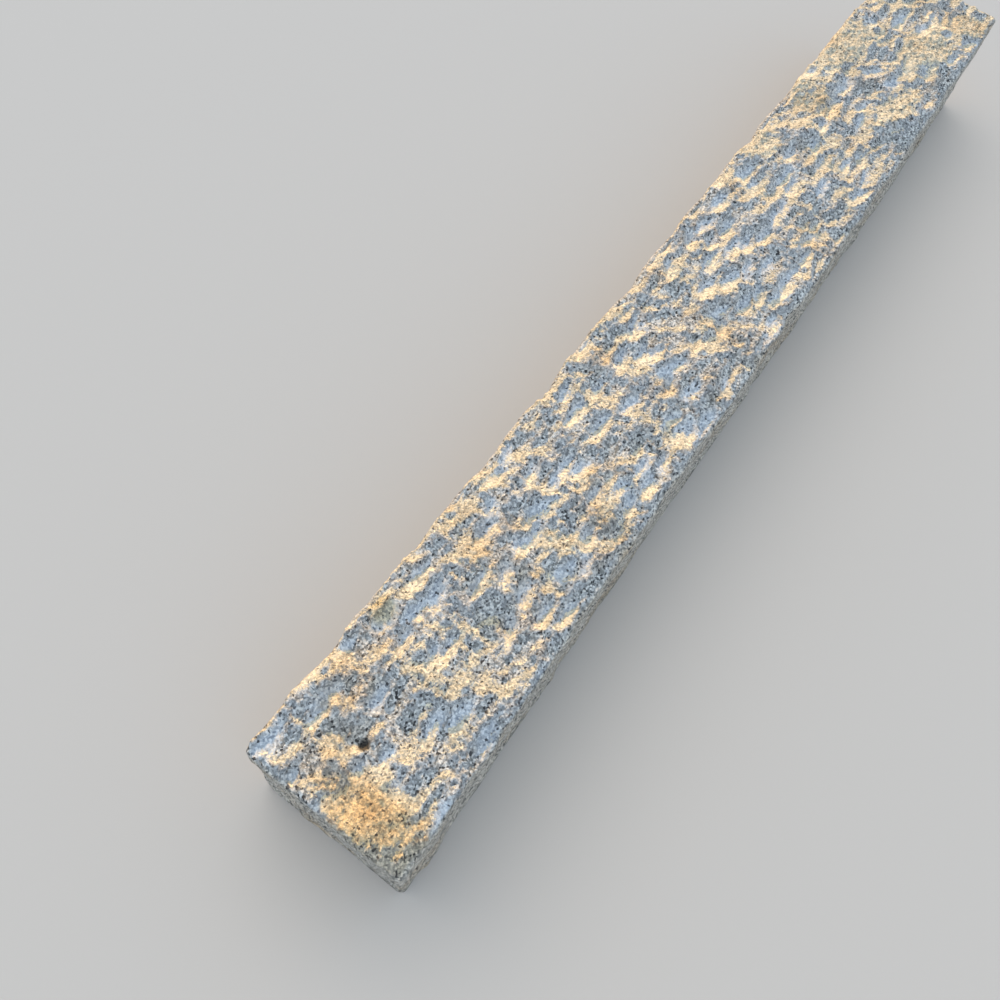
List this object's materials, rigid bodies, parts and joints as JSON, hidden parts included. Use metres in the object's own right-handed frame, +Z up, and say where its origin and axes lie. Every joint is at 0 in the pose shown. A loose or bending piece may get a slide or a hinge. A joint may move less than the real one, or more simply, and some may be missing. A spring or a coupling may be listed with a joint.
{
  "type": "granite kerb stone",
  "caption": "Long square-section granite kerb stone with a hand-dressed top, wavy pitched long edges, split sides and ends, and a flat bed.",
  "frame": {"origin": "centre of the bed, on the face that the stone rests on", "axes": "+X along the stone towards its far end, +Y towards its left side, +Z up out of the dressed top"},
  "size_m": [0.9996, 0.1254, 0.1099],
  "materials": {
    "granite": "rough"
  },
  "bodies": {
    "root": {"kerb_stone": "granite"}
  },
  "joints": []
}
